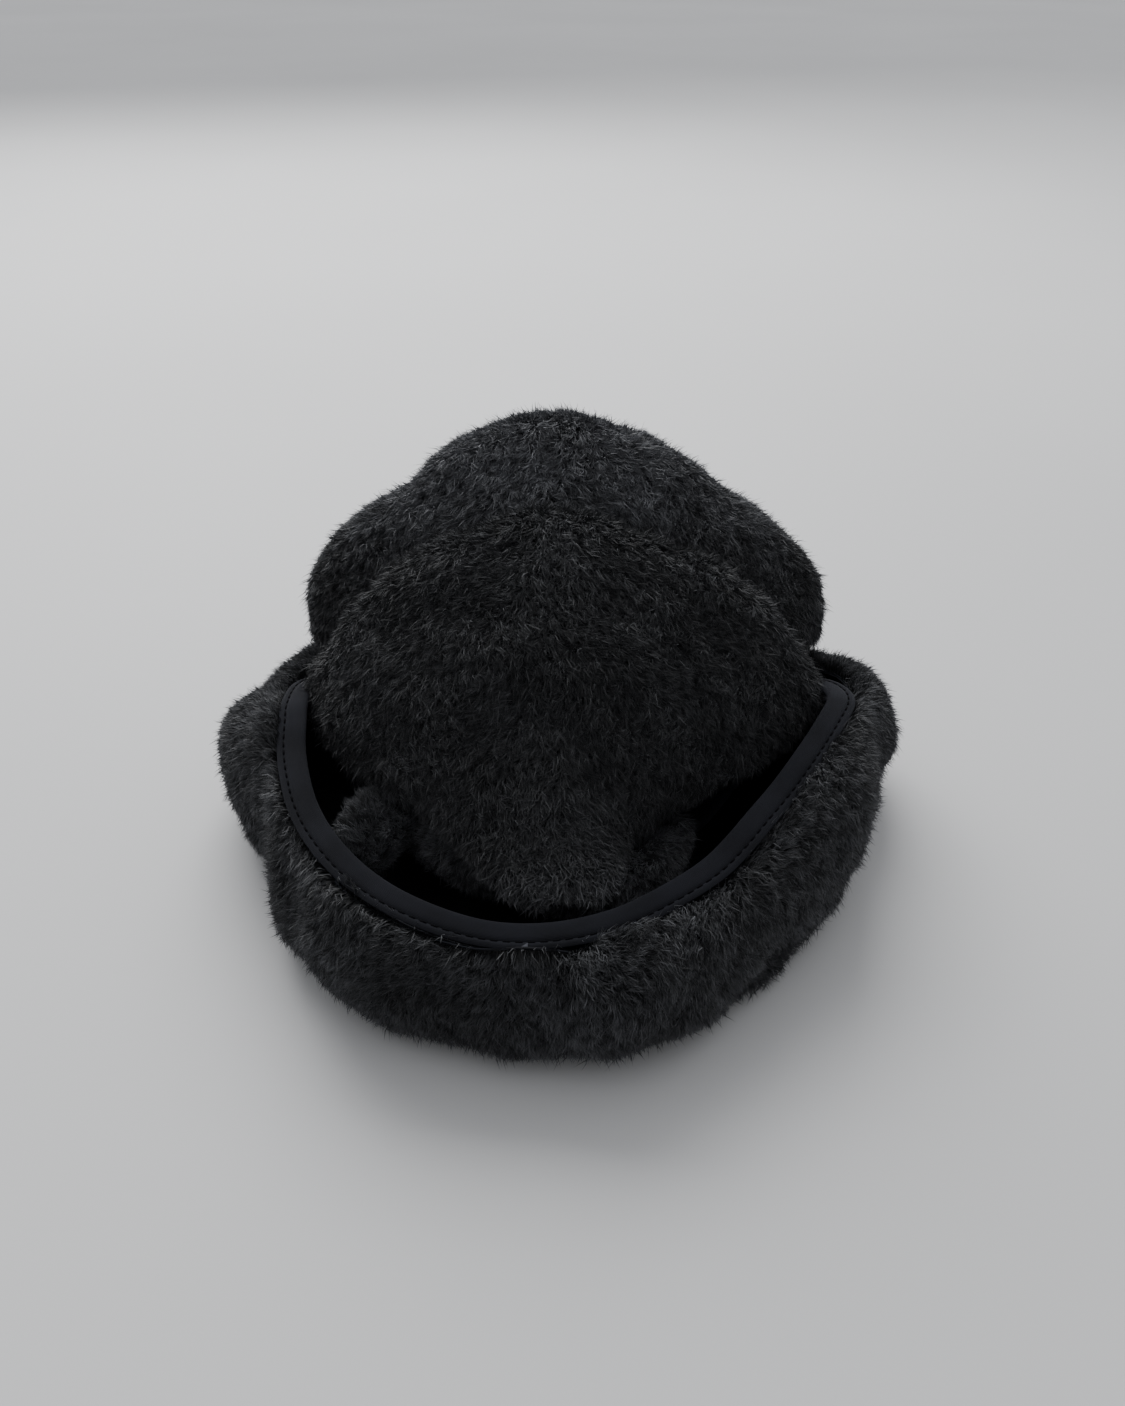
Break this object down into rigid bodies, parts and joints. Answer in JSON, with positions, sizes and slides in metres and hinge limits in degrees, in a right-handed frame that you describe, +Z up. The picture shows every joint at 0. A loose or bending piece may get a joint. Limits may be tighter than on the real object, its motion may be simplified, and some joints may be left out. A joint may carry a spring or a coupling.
{
  "type": "balaclava",
  "caption": "Black high-pile fleece balaclava standing on its neck hem, crown slumped forward over a bound face opening that it lifts away from.",
  "frame": {"origin": "centre of the outline on the ground, under the neck hem", "axes": "+Z up, -Y towards the wearer's front (the face opening), +X towards the wearer's left"},
  "size_m": [0.2553, 0.2441, 0.1424],
  "materials": {
    "fleece": "high-pile polyester fleece, black",
    "binding": "brushed stretch knit, dark navy charcoal",
    "lining": "smooth jersey, black",
    "backing": "knit backing, black",
    "thread": "sewing thread, charcoal",
    "label": "woven satin ribbon, blank"
  },
  "bodies": {
    "neck": {"neck_panel_front": "fleece", "neck_panel_back": "fleece", "neck_lining_front": "lining", "neck_lining_back": "lining", "side_seam_allowance_right": "backing", "side_seam_allowance_left": "backing", "side_seam_thread": "thread", "face_binding_lower": "binding", "binding_stitch_lower": "thread", "hem_facing": "backing", "hem_stitch": "thread", "care_label": "label", "care_label_stitch": "thread"},
    "crown": {"crown_panel_left": "fleece", "crown_panel_right": "fleece", "crown_lining_left": "lining", "crown_lining_right": "lining", "crown_seam_allowance": "backing", "crown_seam_thread": "thread", "brow_facing": "fleece", "face_binding_upper": "binding", "binding_stitch_upper": "thread"}
  },
  "joints": [
    {"name": "crown_lift", "type": "hinge", "parent": "neck", "child": "crown", "pos_m": [0, 0.105, 0.05], "axis": [-1, 0, 0], "range_deg": [0, 30]}
  ]
}
